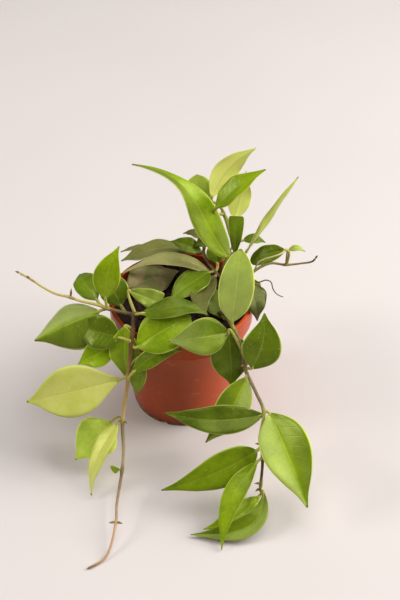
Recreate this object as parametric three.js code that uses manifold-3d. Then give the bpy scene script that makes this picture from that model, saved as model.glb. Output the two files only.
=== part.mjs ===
// A potted hoya: a tapered nursery pot filled with potting mix, and the leafy stems that
// climb, arch over the rim and trail down to the table. Millimetres, +Z up, pot foot centred
// on the origin, the longest stems hanging towards -Y.
import * as THREE from "three";
import { mergeVertices } from "three/addons/utils/BufferGeometryUtils.js";
import Module from "manifold-3d";

const wasm = await Module();
wasm.setup();

// Pot
const rimRadius = 60;
const potHeight = 110;
const footRadius = 42;
const collarHeight = 19;
const collarStep = 1.6; // how far the collar stands proud of the body
const wall = 1.8;
const floorThick = 2.4;
const footEdge = 1.5; // height of the bevel round the foot
const collarDraft = 0.8; // the collar widens by this towards the rim
const lipHigh = 2; // height of the rounded top of the rim
const lipEdge = 0.6;
const potSides = 32;
const notchCount = 8; // drain notches round the foot
const notchWide = 7;
const notchHigh = 3;
const notchDeep = 6;

// Potting mix
const soilTop = 101;
const gap = 0.3; // clearance between separate pieces
const holeGap = 0.9; // clearance round a stem in the mix
const moundHigh = 2.5;
const soilRings = 3;
const soilSides = 22;
const holeSides = 8;
const lumpHigh = 0.9;
const lumpTurn = [0.55, 0.62]; // radians of lump per millimetre along X and Y

// Foliage
const stemSides = 6;
const stemStep = 17; // length of stem between two of its rings
const rootDepth = 12; // how deep a stem stands in the mix
const leafStripes = 4; // quads across a leaf
const stalkSteps = 2;
const stalkHalf = 1.25;
const stalkThick = 2.2;
const tipTurnSpan = [0.35, 0.85]; // the stretch of a blade over which its outer half is turned
const slimLeaf = 12; // leaves narrower than this have a thinner stalk
const bladeThick = 1.2; // at the midrib
const marginThick = 0.7;
const nearBase = 0.001; // keeps the midrib's slope finite at the base
const cupPower = 1.4; // above 1 keeps the fold soft near the midrib

const mergeWithin = 1e-4;

// Half width of a blade from its base (0) to its tip (1), as a share of its greatest half width.
const outlines = {
  pointed: [
    [0, 0.09], [0.07, 0.42], [0.2, 0.82], [0.36, 1],
    [0.53, 0.93], [0.71, 0.62], [0.87, 0.24], [1, 0.04],
  ],
  oval: [
    [0, 0.09], [0.07, 0.42], [0.2, 0.8], [0.38, 0.98],
    [0.56, 0.99], [0.75, 0.82], [0.91, 0.46], [1, 0.06],
  ],
  lance: [
    [0, 0.09], [0.1, 0.4], [0.25, 0.78], [0.42, 1],
    [0.6, 0.9], [0.76, 0.58], [0.9, 0.26], [1, 0.04],
  ],
  cut: [
    [0, 0.09], [0.12, 0.34], [0.3, 0.6], [0.5, 0.8],
    [0.7, 0.94], [0.86, 1], [0.97, 0.96], [1, 0.8],
  ],
};

const materials = {
  terracotta: { color: 0xa84a2e, roughness: 0.55, metalness: 0 },
  pottingMix: { color: 0x2a1d17, roughness: 0.95, metalness: 0 },
  green: { color: 0x5c8a27, roughness: 0.4, metalness: 0 },
  olive: { color: 0x6d7448, roughness: 0.5, metalness: 0 },
};

// Each stem is a route of hand-placed points with its radius at both ends; one that starts in
// the mix is rooted. Each leaf leaves its stem at `from`, its blade runs from `root` to `tip`,
// `face` is the way its upper side looks, `arch` lifts the middle of the midrib, `bend` swings
// it sideways, `late` above 1 moves both towards the tip, `fold` raises the two halves (degrees),
// `belly` above 1 brings the widest part nearer the base, `knee` is how far its stalk runs
// straight on before it turns to the stem, and `tipTurn` turns the outer half (degrees).
const vines = [
  {
    name: "vine_front_left",
    material: "green",
    stems: [
      {
        route: [[-14, -24, 104], [-20, -29, 113], [-29, -33, 118], [-36, -35, 120], [-38, -50, 113],
          [-40, -60, 98], [-42, -66, 78], [-47, -82, 48], [-46, -100, 33], [-47, -112, 22],
          [-50, -142, 15], [-50, -158, 12], [-57, -183, 2], [-71, -194, 1.3]],
        radius: [2.2, 1],
        rooted: true,
      },
      {
        route: [[-36, -35, 120], [-47, -32, 120], [-58, -29, 121], [-66, -28, 124], [-81, -26, 127],
          [-89, -24, 129], [-100, -20, 129], [-110, -17, 133], [-121, -14, 140], [-130, -10, 143]],
        radius: [1.5, 0.8],
      },
    ],
    leaves: [
      { from: [-58, -29, 121], root: [-60, -27, 131], tip: [-48, -12, 171], wide: 22, face: [0, -8, 6],
        bend: -3 },
      { from: [-58, -29, 121], root: [-68, -20, 123], tip: [-84, 12, 123], wide: 20, face: [-2, -5, 9],
        shape: "oval" },
      { from: [-36, -35, 120], root: [-48, -24, 120], tip: [-62, 2, 136], wide: 24, face: [0, -7, 7] },
      { from: [-58, -29, 121], root: [-66, -30, 119], tip: [-117, -46, 102], wide: 46, face: [0, -5, 8.5],
        arch: 2, bend: 0, fold: -30 },
      { from: [-40, -60, 114], root: [-49, -50, 109], tip: [-80, -36, 108], wide: 28, face: [0, -8, 6],
        shape: "oval" },
      { from: [-39, -55, 105], root: [-54, -46, 96], tip: [-83, -51, 81], wide: 22, face: [0, -7, 7] },
      { from: [-42, -65, 82], root: [-50, -64, 76], tip: [-123, -78, 65], wide: 42, face: [0, -8, 6],
        belly: 0.75 },
      { from: [-42, -66, 78], root: [-37, -67, 88], tip: [2, -63, 107], wide: 15, face: [0, -9, 4],
        arch: 0, bend: -5 },
      { from: [-47, -82, 48], root: [-58, -71, 34], tip: [-86, -96, 17], wide: 36, face: [-1, -8, 6] },
      { from: [-47, -82, 48], root: [-51, -85, 46], tip: [-72, -123, 4], wide: 18, face: [-6, -5, 5],
        bend: 4, belly: 1.2 },
      { from: [-47, -112, 22], root: [-50, -112, 22], tip: [-56, -113, 28], wide: 5, face: [0, -8, 6],
        shape: "oval" },
      { from: [-37.6, -47, 114.4], root: [-45, -45, 121], tip: [-44, -58, 72], wide: 25,
        face: [-2, -8, 6], belly: 0.9, knee: 0.3 },
      { from: [-41, -63, 90], root: [-32, -61, 95], tip: [-36, -63, 58], wide: 13, face: [0, -8, 6],
        belly: 1.1 },
      { from: [-38, -50, 113], root: [-34, -58, 106], tip: [8, -41, 123], wide: 35, face: [0, -6, 8],
        shape: "oval", arch: 6, belly: 0.9 },
      { from: [-36, -35, 120], root: [-30, -42, 127], tip: [22, -40, 123], wide: 20, face: [0, -2, 9],
        arch: 6, bend: -3, late: 1.4, knee: 0.2 },
      { from: [-36, -35, 120], root: [-41, -22, 134], tip: [-16, -24, 122], wide: 18, face: [0, -6, 8],
        shape: "cut", arch: 2, knee: 0.2 },
    ],
  },
  {
    name: "vine_front_right",
    material: "green",
    stems: [
      {
        route: [[30, -16, 104], [33, -22, 111], [37, -34, 116], [43, -48, 114], [49, -59, 102],
          [51, -65, 90], [60, -78, 75], [66, -88, 64], [63, -103, 49], [65, -113, 37], [63, -131, 20]],
        radius: [1.8, 1.1],
        rooted: true,
      },
    ],
    leaves: [
      { from: [33, -22, 111], root: [35, -22, 105], tip: [25, 8, 117], wide: 22, face: [0, 0, 9],
        arch: 1 },
      { from: [37, -34, 116], root: [37, -50, 114], tip: [-9, -65, 118], wide: 30, face: [0, -8, 6] },
      { from: [43, -48, 114], root: [41, -45, 122], tip: [47, -22, 176], wide: 28, face: [0, -8, 6],
        shape: "oval" },
      { from: [51, -65, 90], root: [57, -66, 91], tip: [66, -46, 131], wide: 32, face: [1, -8, 6],
        bend: 3, knee: 0.3 },
      { from: [49, -59, 102], root: [38, -51, 114], tip: [41, -66, 71], wide: 34, face: [2, -8, 5],
        arch: 2 },
      { from: [51, -65, 90], root: [52, -70, 84], tip: [20, -95, 36], wide: 27, face: [0, -8, 6],
        bend: -3 },
      { from: [66, -88, 64], root: [65, -89, 61], tip: [-13, -88, 63], wide: 24, face: [0, -5, 8],
        bend: -6 },
      { from: [66, -88, 64], root: [71, -90, 63], tip: [98, -156, 28], wide: 42, face: [0, -8, 6],
        bend: -1.5, fold: 22 },
      { from: [63, -103, 49], root: [60, -110, 42], tip: [-15, -135, 24], wide: 28, face: [0, -8, 6],
        bend: -3, belly: 1.2 },
      { from: [65, -113, 37], root: [60, -117, 36], tip: [32, -176, 2], wide: 17, face: [0, -8, 6],
        bend: 8 },
      { from: [63, -131, 20], root: [65, -132, 19], tip: [8, -162, 3], wide: 18, face: [0, -4, 9],
        arch: 2, bend: -18, late: 0.7, fold: 20 },
      { from: [63, -131, 20], root: [62, -130, 10], tip: [18, -160, 7], wide: 18, face: [0, -7, 7],
        bend: -4 },
    ],
  },
  {
    name: "shoot_top",
    material: "green",
    stems: [
      {
        route: [[44, 6, 104], [45, 12, 116], [46, 21, 133], [40, 33, 150], [35, 41, 164],
          [31, 43, 173]],
        radius: [2, 1.2],
        rooted: true,
      },
    ],
    leaves: [
      { from: [46, 21, 133], root: [39, 20, 136], tip: [-39, 42, 212], wide: 27, face: [5, -6, 6],
        shape: "lance", arch: 12, bend: 11, late: 1.5, belly: 1.5, tipTurn: 40 },
      { from: [46, 21, 133], root: [54, 21, 141], tip: [94, 36, 204], wide: 11, face: [-7, -1, 5],
        shape: "lance", arch: 1, belly: 1 },
      { from: [46, 21, 133], root: [44, 19, 140], tip: [45, 28, 171], wide: 13, face: [0, -8, 5],
        shape: "cut", belly: 1 },
      { from: [35, 41, 164], root: [29, 33, 176], tip: [68, 40, 208], wide: 22, face: [-4, -3, 8],
        fold: 16 },
      { from: [31, 43, 173], root: [25, 43, 180], tip: [60, 50, 222], wide: 20, face: [-2, 8, -3],
        bend: 4 },
      { from: [35, 41, 164], root: [44, 46, 155], tip: [53, 54, 197], wide: 19, face: [2, 8, 3] },
    ],
  },
  {
    name: "vine_back_rim",
    material: "olive",
    stems: [
      {
        route: [[38, 14, 104], [34, 20, 110], [28, 27, 114], [19, 42, 120], [19, 52, 127]],
        radius: [1.6, 1.2],
        rooted: true,
      },
    ],
    leaves: [
      { from: [28, 27, 114], root: [23, 25, 114], tip: [-11, -8, 108], wide: 24, face: [0, -2, 9] },
      { from: [28, 27, 114], root: [23, 30, 113], tip: [-52, 26, 112], wide: 16, face: [0, -1, 9],
        arch: 16, belly: 1.25 },
      { from: [28, 27, 114], root: [28, 20, 115], tip: [21, -33, 117], wide: 22, face: [0, -2, 9],
        bend: 8 },
      { from: [19, 42, 120], root: [16, 49, 117], tip: [-52, 47, 110], wide: 24, face: [0, 0, 9], arch: 9,
        belly: 0.6 },
      { from: [19, 52, 127], root: [16, 45, 122], tip: [-10, 50, 129], wide: 15, face: [0, -5, 9] },
      { from: [19, 52, 127], root: [18, 60, 124], tip: [1, 66, 125], wide: 11, face: [0, 0, 9] },
      { from: [19, 52, 127], root: [18, 46, 149], tip: [13, 60, 190], wide: 24, face: [0, -8, 5],
        shape: "oval", belly: 0.5 },
      { from: [19, 52, 127], root: [23, 51, 130], tip: [11, 44, 128], wide: 11, face: [0, -4, 8],
        arch: 1 },
      { from: [28, 27, 114], root: [30, 34, 118], tip: [26, 50, 127], wide: 16, face: [0, -4, 8] },
    ],
  },
  {
    name: "shoot_right",
    material: "green",
    stems: [
      {
        route: [[50, 8, 104], [53, 12, 114], [58, 16, 121], [73, 22, 127], [87, 24, 124],
          [100, 26, 124], [109, 26, 126], [112, 26, 130]],
        radius: [1.6, 0.7],
        rooted: true,
      },
      {
        route: [[58, 16, 121], [61, 14, 115], [64, 12, 115], [70, 10, 119], [74, 9, 118], [76, 8, 111],
          [80, 8, 105], [86, 8, 102]],
        radius: [0.6, 0.4],
      },
      {
        route: [[86, 19, 143], [80, 11, 145], [74, 9, 144], [67, 8, 142], [63, 7, 140], [61, 7, 135],
          [59, 9, 128]],
        radius: [0.75, 0.6],
      },
    ],
    leaves: [
      { from: [87, 24, 124], root: [85, 18, 144], tip: [57, 24, 127], wide: 16, face: [0, -5, 8],
        shape: "oval", knee: 0.3 },
      { from: [87, 24, 124], root: [88, 24, 139], tip: [102, 24, 138], wide: 6, face: [0, -2, 8],
        knee: 0.1 },
      { from: [53, 12, 114], root: [54, 0, 126], tip: [62, -24, 104], wide: 24, face: [5, -7, 4] },
    ],
  },
  {
    name: "leaf_on_soil",
    material: "olive",
    stems: [
      {
        route: [[-38, 4, 104], [-41, 8, 109], [-44, 12, 111]],
        radius: [1.8, 1.5],
        rooted: true,
      },
    ],
    leaves: [
      { from: [-44, 12, 111], root: [-45, 13, 107], tip: [-3, 38, 106], wide: 35, face: [0, -3, 9],
        arch: 3 },
    ],
  },
  {
    name: "vine_back_left",
    material: "green",
    stems: [
      {
        route: [[-18, 34, 104], [-18, 44, 110.5], [-19, 56, 113.5], [-20, 66, 109], [-22, 76, 92],
          [-22, 81, 68], [-20, 85, 46]],
        radius: [2, 1.2],
        rooted: true,
      },
    ],
    leaves: [
      { from: [-20, 66, 109], root: [-28, 69, 108], tip: [-54, 70, 102], wide: 8, face: [0, 1, 9],
        arch: 2 },
      { from: [-20, 66, 109], root: [-12, 70, 103], tip: [14, 84, 76], wide: 28, face: [2, 8, 6] },
      { from: [-22, 81, 68], root: [-30, 83, 64], tip: [-60, 92, 30], wide: 32, face: [-2, 8, 6] },
      { from: [-22, 81, 68], root: [-14, 84, 64], tip: [12, 94, 34], wide: 28, face: [2, 8, 6] },
      { from: [-20, 85, 46], root: [-20, 89, 39], tip: [-26, 104, 4], wide: 24, face: [0, 8, 6] },
    ],
  },
  {
    name: "vine_back_right",
    material: "green",
    stems: [
      {
        route: [[33, 34, 104], [36, 39, 112], [41, 48, 116], [46, 58, 108], [47, 66, 88], [46, 70, 72]],
        radius: [1.9, 1.2],
        rooted: true,
      },
    ],
    leaves: [
      { from: [46, 58, 108], root: [40, 63, 102], tip: [16, 84, 66], wide: 28, face: [-1, 8, 6] },
      { from: [47, 66, 88], root: [52, 66, 82], tip: [62, 76, 42], wide: 26, face: [5, 7, 5] },
      { from: [46, 70, 72], root: [43, 73, 66], tip: [34, 90, 28], wide: 30, face: [0, 8, 6] },
      { from: [40, 46.5, 115.5], root: [52, 50, 130], tip: [71, 52, 126], wide: 10, face: [0, -3, 9] },
    ],
  },
];

// Closed geometry as a manifold solid.
function solidOf(geometry) {
  const bare = geometry.clone();
  bare.deleteAttribute("normal");
  bare.deleteAttribute("uv");
  const merged = mergeVertices(bare, mergeWithin);
  return new wasm.Manifold(
    new wasm.Mesh({
      numProp: 3,
      vertProperties: new Float32Array(merged.attributes.position.array),
      triVerts: new Uint32Array(merged.index.array),
    }),
  );
}

function geometryOf(solid) {
  const mesh = solid.getMesh();
  const geometry = new THREE.BufferGeometry();
  geometry.setAttribute("position", new THREE.BufferAttribute(mesh.vertProperties, 3));
  geometry.setIndex(new THREE.BufferAttribute(mesh.triVerts, 1));
  geometry.computeVertexNormals();
  return geometry;
}

const vector = (point) => new THREE.Vector3(...point);

// A tapering tube along a route: a closed cylinder whose rings are carried onto the curve.
function tube(route, radius) {
  const curve = new THREE.CatmullRomCurve3(route.map(vector), false, "centripetal");
  const steps = Math.max(2, Math.round(curve.getLength() / stemStep));
  const frames = curve.computeFrenetFrames(steps, false);
  const rings = Array.from({ length: steps + 1 }, (_, ring) => curve.getPointAt(ring / steps));
  const geometry = new THREE.CylinderGeometry(1, 1, steps, stemSides, steps);
  const position = geometry.attributes.position;
  for (let i = 0; i < position.count; i += 1) {
    const ring = Math.round(position.getY(i) + steps / 2);
    const thick = radius[0] + ((radius[1] - radius[0]) * ring) / steps;
    const place = rings[ring].clone();
    place.addScaledVector(frames.binormals[ring], position.getX(i) * thick);
    place.addScaledVector(frames.normals[ring], position.getZ(i) * thick);
    position.setXYZ(i, place.x, place.y, place.z);
  }
  return solidOf(geometry);
}

// A rooted stem goes straight down into the mix from the first point of its route.
function stemSolid({ route, radius, rooted }) {
  const [x, y] = route[0];
  return tube(rooted ? [[x, y, soilTop - rootDepth], ...route] : route, radius);
}

// Midrib point and the blade's own directions at a share of its length.
function midrib(leaf, share) {
  const { root, tip, face, arch = 4, bend = 0, late = 1, tipTurn = 0 } = leaf;
  const chord = vector(tip).sub(vector(root));
  const along = chord.clone().normalize();
  const up = vector(face).addScaledVector(along, -vector(face).dot(along)).normalize();
  const side = new THREE.Vector3().crossVectors(along, up);
  const swell = Math.PI * share ** late;
  const bow = Math.sin(swell);
  const slope = Math.PI * late * Math.max(share, nearBase) ** (late - 1) * Math.cos(swell);
  const point = vector(root).addScaledVector(chord, share);
  point.addScaledVector(up, arch * bow).addScaledVector(side, bend * bow);
  const tangent = chord.clone().addScaledVector(up, arch * slope).addScaledVector(side, bend * slope);
  tangent.normalize();
  const turned = THREE.MathUtils.degToRad(tipTurn) * THREE.MathUtils.smoothstep(share, ...tipTurnSpan);
  const turn = new THREE.Quaternion().setFromAxisAngle(tangent, turned);
  up.addScaledVector(tangent, -up.dot(tangent)).normalize().applyQuaternion(turn);
  side.crossVectors(tangent, up);
  return { point, tangent, side, up };
}

// Rings of a leaf from the stem to the tip: a few along the stalk, then one for each outline point.
function leafRings(leaf) {
  const blade = outlines[leaf.shape ?? "pointed"].map(([share, half]) => ({
    ...midrib(leaf, share ** (leaf.belly ?? 1)),
    half: (half * leaf.wide) / 2,
    thick: share > 0 ? bladeThick : stalkThick,
    edge: share > 0 ? marginThick : stalkThick,
  }));
  const start = vector(leaf.from);
  const base = blade[0];
  const knee = base.point.clone();
  knee.addScaledVector(base.tangent, -(leaf.knee ?? 0.6) * start.distanceTo(base.point));
  const curve = new THREE.QuadraticBezierCurve3(base.point, knee, start);
  const thin = Math.min(1, leaf.wide / slimLeaf);
  const stalk = [];
  let last = base;
  for (let step = 1; step <= stalkSteps; step += 1) {
    const share = step / stalkSteps;
    const tangent = curve.getTangent(share).negate();
    const turn = new THREE.Quaternion().setFromUnitVectors(last.tangent, tangent);
    last = {
      point: curve.getPoint(share),
      tangent,
      side: last.side.clone().applyQuaternion(turn),
      up: last.up.clone().applyQuaternion(turn),
      half: stalkHalf * thin,
      thick: stalkThick * thin,
      edge: stalkThick * thin,
    };
    stalk.unshift(last);
  }
  return [...stalk, ...blade];
}

// A leaf with its stalk: a thin box, split alike on both faces, carried onto the leaf's rings.
function leafSolid(leaf) {
  const rings = leafRings(leaf);
  const steps = rings.length - 1;
  const geometry = new THREE.BoxGeometry(2, 2, steps, leafStripes, 1, steps);
  const { start, count } = geometry.groups[3];
  for (let i = start; i < start + count; i += 6) {
    const [a, b, d, , c] = [0, 1, 2, 3, 4].map((k) => geometry.index.getX(i + k));
    [a, b, c, a, c, d].forEach((corner, k) => geometry.index.setX(i + k, corner));
  }
  const fold = THREE.MathUtils.degToRad(leaf.fold ?? 8);
  const position = geometry.attributes.position;
  for (let i = 0; i < position.count; i += 1) {
    const across = position.getX(i);
    const level = position.getY(i);
    const ring = rings[Math.round(position.getZ(i) + steps / 2)];
    const thick = ring.thick + (ring.edge - ring.thick) * Math.abs(across);
    const lift = ring.half * Math.sin(fold) * Math.abs(across) ** cupPower + (level * thick) / 2;
    const place = ring.point.clone();
    place.addScaledVector(ring.side, -across * ring.half * Math.cos(fold)).addScaledVector(ring.up, lift);
    position.setXYZ(i, place.x, place.y, place.z);
  }
  return solidOf(geometry);
}

function vineSolid({ stems, leaves }) {
  return wasm.Manifold.union([...stems.map(stemSolid), ...leaves.map(leafSolid)]);
}

function turnedSolid(profile, sides, shapeTop = () => 0) {
  const points = profile.map(([radius, height]) => new THREE.Vector2(radius, height));
  const geometry = new THREE.LatheGeometry(points, sides).rotateX(Math.PI / 2);
  const position = geometry.attributes.position;
  for (let i = 0; i < position.count; i += 1) {
    position.setZ(i, position.getZ(i) + shapeTop(position.getX(i), position.getY(i), position.getZ(i)));
  }
  return solidOf(geometry);
}

const bodyRadius = (height) => footRadius + ((rimRadius - collarStep - footRadius) * height) / potHeight;
const innerRadius = (height) => bodyRadius(height) - wall;

// Turned profile of the pot, with drain notches cut through the foot of its wall.
function potSolid() {
  const collarFoot = potHeight - collarHeight;
  const shell = turnedSolid(
    [
      [0, 0],
      [footRadius - footEdge, 0],
      [footRadius, footEdge],
      [bodyRadius(collarFoot), collarFoot],
      [rimRadius - collarDraft, collarFoot + lipEdge],
      [rimRadius, potHeight - lipHigh],
      [rimRadius - lipEdge, potHeight],
      [innerRadius(potHeight) + lipEdge, potHeight],
      [innerRadius(potHeight), potHeight - lipHigh / 2],
      [innerRadius(floorThick), floorThick],
      [0, floorThick],
    ],
    potSides,
  );
  const notches = Array.from({ length: notchCount }, (_, n) => {
    const notch = new THREE.BoxGeometry(notchDeep, notchWide, notchHigh * 2);
    notch.translate(footRadius, 0, 0).rotateZ(((n + 0.5) * 2 * Math.PI) / notchCount);
    return solidOf(notch);
  });
  return shell.subtract(wasm.Manifold.union(notches));
}

// The mix fills the pot, a little mounded and lumpy on top, with a hole for each rooted stem.
function soilSolid() {
  const low = floorThick + gap;
  const edge = innerRadius(soilTop) - gap;
  const top = Array.from({ length: soilRings }, (_, ring) => {
    const share = 1 - ring / soilRings;
    return [edge * share, soilTop + moundHigh * (1 - share * share)];
  });
  const lump = (x, y) => lumpHigh * Math.sin(x * lumpTurn[0]) * Math.cos(y * lumpTurn[1]);
  const shapeTop = (x, y, z) => (z > soilTop + gap ? lump(x, y) : 0);
  const plug = turnedSolid(
    [[0, low], [innerRadius(low) - gap, low], ...top, [0, soilTop + moundHigh]],
    soilSides,
    shapeTop,
  );
  const rootedStems = vines.flatMap(({ stems }) => stems).filter(({ rooted }) => rooted);
  const holes = rootedStems.map(({ route, radius }) => {
    const [x, y] = route[0];
    const wide = radius[0] + holeGap;
    const hole = new THREE.CylinderGeometry(wide, wide, 2 * rootDepth, holeSides);
    hole.rotateX(Math.PI / 2).translate(x, y, soilTop - gap);
    return solidOf(hole);
  });
  return plug.subtract(wasm.Manifold.union(holes));
}

const part = new THREE.Group();

function add(name, solid, material) {
  const mesh = new THREE.Mesh(geometryOf(solid), new THREE.MeshStandardMaterial(materials[material]));
  mesh.name = name;
  part.add(mesh);
}

add("pot", potSolid(), "terracotta");
add("potting_mix", soilSolid(), "pottingMix");
vines.forEach((vine) => add(vine.name, vineSolid(vine), vine.material));

export default part;
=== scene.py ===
import math
import random

import bpy
from mathutils import Matrix, Quaternion, Vector, noise


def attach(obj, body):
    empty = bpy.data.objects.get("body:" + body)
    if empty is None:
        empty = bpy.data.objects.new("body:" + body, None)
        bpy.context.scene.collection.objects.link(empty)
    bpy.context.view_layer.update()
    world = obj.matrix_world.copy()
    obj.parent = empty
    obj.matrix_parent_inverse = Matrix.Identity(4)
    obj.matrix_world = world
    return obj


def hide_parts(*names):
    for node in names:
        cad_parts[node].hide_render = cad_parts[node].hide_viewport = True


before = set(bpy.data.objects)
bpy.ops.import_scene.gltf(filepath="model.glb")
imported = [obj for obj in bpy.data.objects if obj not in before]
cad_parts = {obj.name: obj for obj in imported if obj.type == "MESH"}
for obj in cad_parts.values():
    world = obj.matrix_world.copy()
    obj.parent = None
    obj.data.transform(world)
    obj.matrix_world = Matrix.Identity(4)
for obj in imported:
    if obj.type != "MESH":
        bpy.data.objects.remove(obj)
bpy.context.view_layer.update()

# A hoya in its nursery pot. Lengths in the lists are millimetres, Blender gets metres.
mm = 0.001
vec = Vector


# small helpers for objects and edit mode

def letGo():
    if bpy.context.mode != "OBJECT":
        bpy.ops.object.mode_set(mode="OBJECT")
    bpy.ops.object.select_all(action="DESELECT")


def take(piece):
    letGo()
    piece.select_set(True)
    bpy.context.view_layer.objects.active = piece


def addGrid(columns, rows):
    letGo()
    bpy.ops.mesh.primitive_grid_add(x_subdivisions=columns, y_subdivisions=rows, size=2)
    return bpy.context.object


def addCube():
    letGo()
    bpy.ops.mesh.primitive_cube_add(size=1)
    return bpy.context.object


def pickAll():
    bpy.ops.mesh.select_all(action="SELECT")


def openMesh(piece):
    take(piece)
    bpy.ops.object.mode_set(mode="EDIT")
    bpy.ops.mesh.select_mode(type="VERT")
    pickAll()


def faceOut():
    # turns the faces outwards and ends edit mode
    bpy.ops.mesh.normals_make_consistent(inside=False)
    bpy.ops.object.mode_set(mode="OBJECT")


def closeSeams(piece, near):
    openMesh(piece)
    bpy.ops.mesh.remove_doubles(threshold=near)
    bpy.ops.mesh.fill_holes(sides=0)
    pickAll()
    faceOut()


def addModifier(piece, kind, **settings):
    take(piece)
    modifier = piece.modifiers.new(kind.title(), kind)
    for key, value in settings.items():
        setattr(modifier, key, value)
    bpy.ops.object.modifier_apply(modifier=modifier.name)


def rename(piece, name):
    piece.name = piece.data.name = name


def joinAll(pieces, name):
    take(pieces[0])
    for piece in pieces[1:]:
        piece.select_set(True)
    if len(pieces) > 1:
        bpy.ops.object.join()
    rename(pieces[0], name)
    return pieces[0]


def smooth(piece, angle=None):
    take(piece)
    if angle is None:
        bpy.ops.object.shade_smooth()
    else:
        bpy.ops.object.shade_smooth_by_angle(angle=math.radians(angle))


def copyOf(blank):
    twin = blank.copy()
    twin.data = blank.data.copy()
    bpy.context.collection.objects.link(twin)
    return twin


def dropPiece(piece):
    take(piece)
    bpy.ops.object.delete()


def paint(piece, finish):
    piece.data.materials.clear()
    piece.data.materials.append(finish)


def colour(text):
    # "#rrggbb" turned into the linear values that shaders use
    parts = [int(text[i:i + 2], 16) / 255 for i in (1, 3, 5)]
    linear = [p / 12.92 if p <= 0.04045 else ((p + 0.055) / 1.055) ** 2.4 for p in parts]
    return (*linear, 1.0)


def blendColour(a, b, share):
    return tuple(x + (y - x) * share for x, y in zip(a, b))


def easeBetween(low, high, value):
    share = min(1.0, max(0.0, (value - low) / (high - low)))
    return share * share * (3 - 2 * share)


def hermite(start, slopeIn, end, slopeOut, t):
    return ((2 * t**3 - 3 * t**2 + 1) * start + (t**3 - 2 * t**2 + t) * slopeIn
            + (3 * t**2 - 2 * t**3) * end + (t**3 - t**2) * slopeOut)


# shader sums

class Wire:
    # one output socket, with the sums a shader needs
    def __init__(self, board, socket):
        self.board = board
        self.socket = socket

    def sum(self, operation, *values, clamp=False):
        settings = {"operation": operation, "use_clamp": clamp}
        return self.board.node("ShaderNodeMath", settings, dict(enumerate(values)))

    def __add__(self, other):
        return self.sum("ADD", self, other)

    __radd__ = __add__

    def __sub__(self, other):
        return self.sum("SUBTRACT", self, other)

    def __rsub__(self, other):
        return self.sum("SUBTRACT", other, self)

    def __mul__(self, other):
        return self.sum("MULTIPLY", self, other)

    __rmul__ = __mul__

    def __truediv__(self, other):
        return self.sum("DIVIDE", self, other)

    def __rtruediv__(self, other):
        return self.sum("DIVIDE", other, self)

    def fract(self):
        return self.sum("FRACT", self)

    def abs(self):
        return self.sum("ABSOLUTE", self)

    def clamped(self):
        return self.sum("ADD", self, 0.0, clamp=True)

    def step(self, low, high, out=(0, 1)):
        # eases from out[0] at low to out[1] at high
        settings = {"interpolation_type": "SMOOTHSTEP"}
        span = {"From Min": low, "From Max": high, "To Min": out[0], "To Max": out[1]}
        return self.board.node("ShaderNodeMapRange", settings, {"Value": self, **span}, "Result")


class Board:
    # one material's node tree
    def __init__(self, name):
        self.material = bpy.data.materials.new(name)
        self.material.use_nodes = True
        self.tree = self.material.node_tree
        self.shader = self.tree.nodes["Principled BSDF"]

    def plug(self, socket, value):
        if isinstance(value, Wire):
            self.tree.links.new(value.socket, socket)
        else:
            socket.default_value = value

    def node(self, kind, settings=None, values=None, output=0):
        made = self.tree.nodes.new(kind)
        for key, value in (settings or {}).items():
            setattr(made, key, value)
        for key, value in (values or {}).items():
            self.plug(made.inputs[key], value)
        return Wire(self, made.outputs[output])

    def mix(self, share, a, b, kind="MIX"):
        # socket 0 is the share, 6 and 7 the colours, output 2 the result
        settings = {"data_type": "RGBA", "blend_type": kind, "clamp_result": True}
        return self.node("ShaderNodeMix", settings, {0: share, 6: a, 7: b}, 2)

    def place(self):
        return self.node("ShaderNodeTexCoord", output="Object")

    def uv(self):
        return self.node("ShaderNodeUVMap", {"uv_map": "UVMap"})

    def noise(self, where, scale, detail=3):
        values = {"Vector": where, "Scale": scale, "Detail": detail, "Roughness": 0.55}
        return self.node("ShaderNodeTexNoise", {}, values, "Fac")

    def stretch(self, where, scale):
        return self.node("ShaderNodeMapping", {}, {"Vector": where, "Scale": scale})

    def attribute(self, name):
        return self.node("ShaderNodeAttribute", {"attribute_name": name}, {}, "Color")

    def split(self, wire, kind="Color"):
        return [self.node("ShaderNodeSeparate" + kind, {}, {0: wire}, i) for i in range(3)]

    def bump(self, height, strength, distance):
        values = {"Height": height, "Strength": strength, "Distance": distance}
        return self.node("ShaderNodeBump", {}, values, "Normal")

    def feed(self, **links):
        for key, value in links.items():
            self.plug(self.shader.inputs[key.replace("_", " ")], value)
        return self.material

    def cover(self, skin, face, roughness, height):
        # how every skin ends, with the gloss and bump of its dictionary
        return self.feed(
            Base_Color=face, Roughness=roughness, Specular_IOR_Level=skin["gloss"],
            Specular_Tint=skin["sheen"], Normal=self.bump(height, skin["bump"], skin["grain"]),
        )


# camera, table and light

cameraSet = {
    "place": (15.4, -762, 743),  # in front and above, looking down into the pot
    "tilt": 50.1,
    "lens": 72,
    "nearClip": 10,
}


def addCamera():
    turn = (math.radians(cameraSet["tilt"]), 0, 0)
    bpy.ops.object.camera_add(location=vec(cameraSet["place"]) * mm, rotation=turn)
    camera = bpy.context.object
    camera.data.lens = cameraSet["lens"]
    camera.data.clip_start = cameraSet["nearClip"] * mm
    bpy.context.scene.camera = camera
    print("camera set")


studio = {
    # metres and watts
    "tableWide": 6.0,
    "table": "#d9d3d0", "blotch": "#d3cbc7", "blotchShare": 0.35, "blotchScale": 3.0,
    "roughness": 0.62, "gloss": 0.25,
    "skyColour": "#fffaf6",
    "sky": 0.16,
    "aim": (0, -0.02, 0.06),
    "lamps": [  # place, size, power and tint
        ((1.9, 0.15, 1.5), 1.9, 68, "#fffcfa"),
        ((-1.9, -0.25, 1.3), 0.8, 21, "#fffcfa"),
        ((0.2, 0.2, 1.9), 1.3, 14, "#ffffff"),
    ],
}


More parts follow.
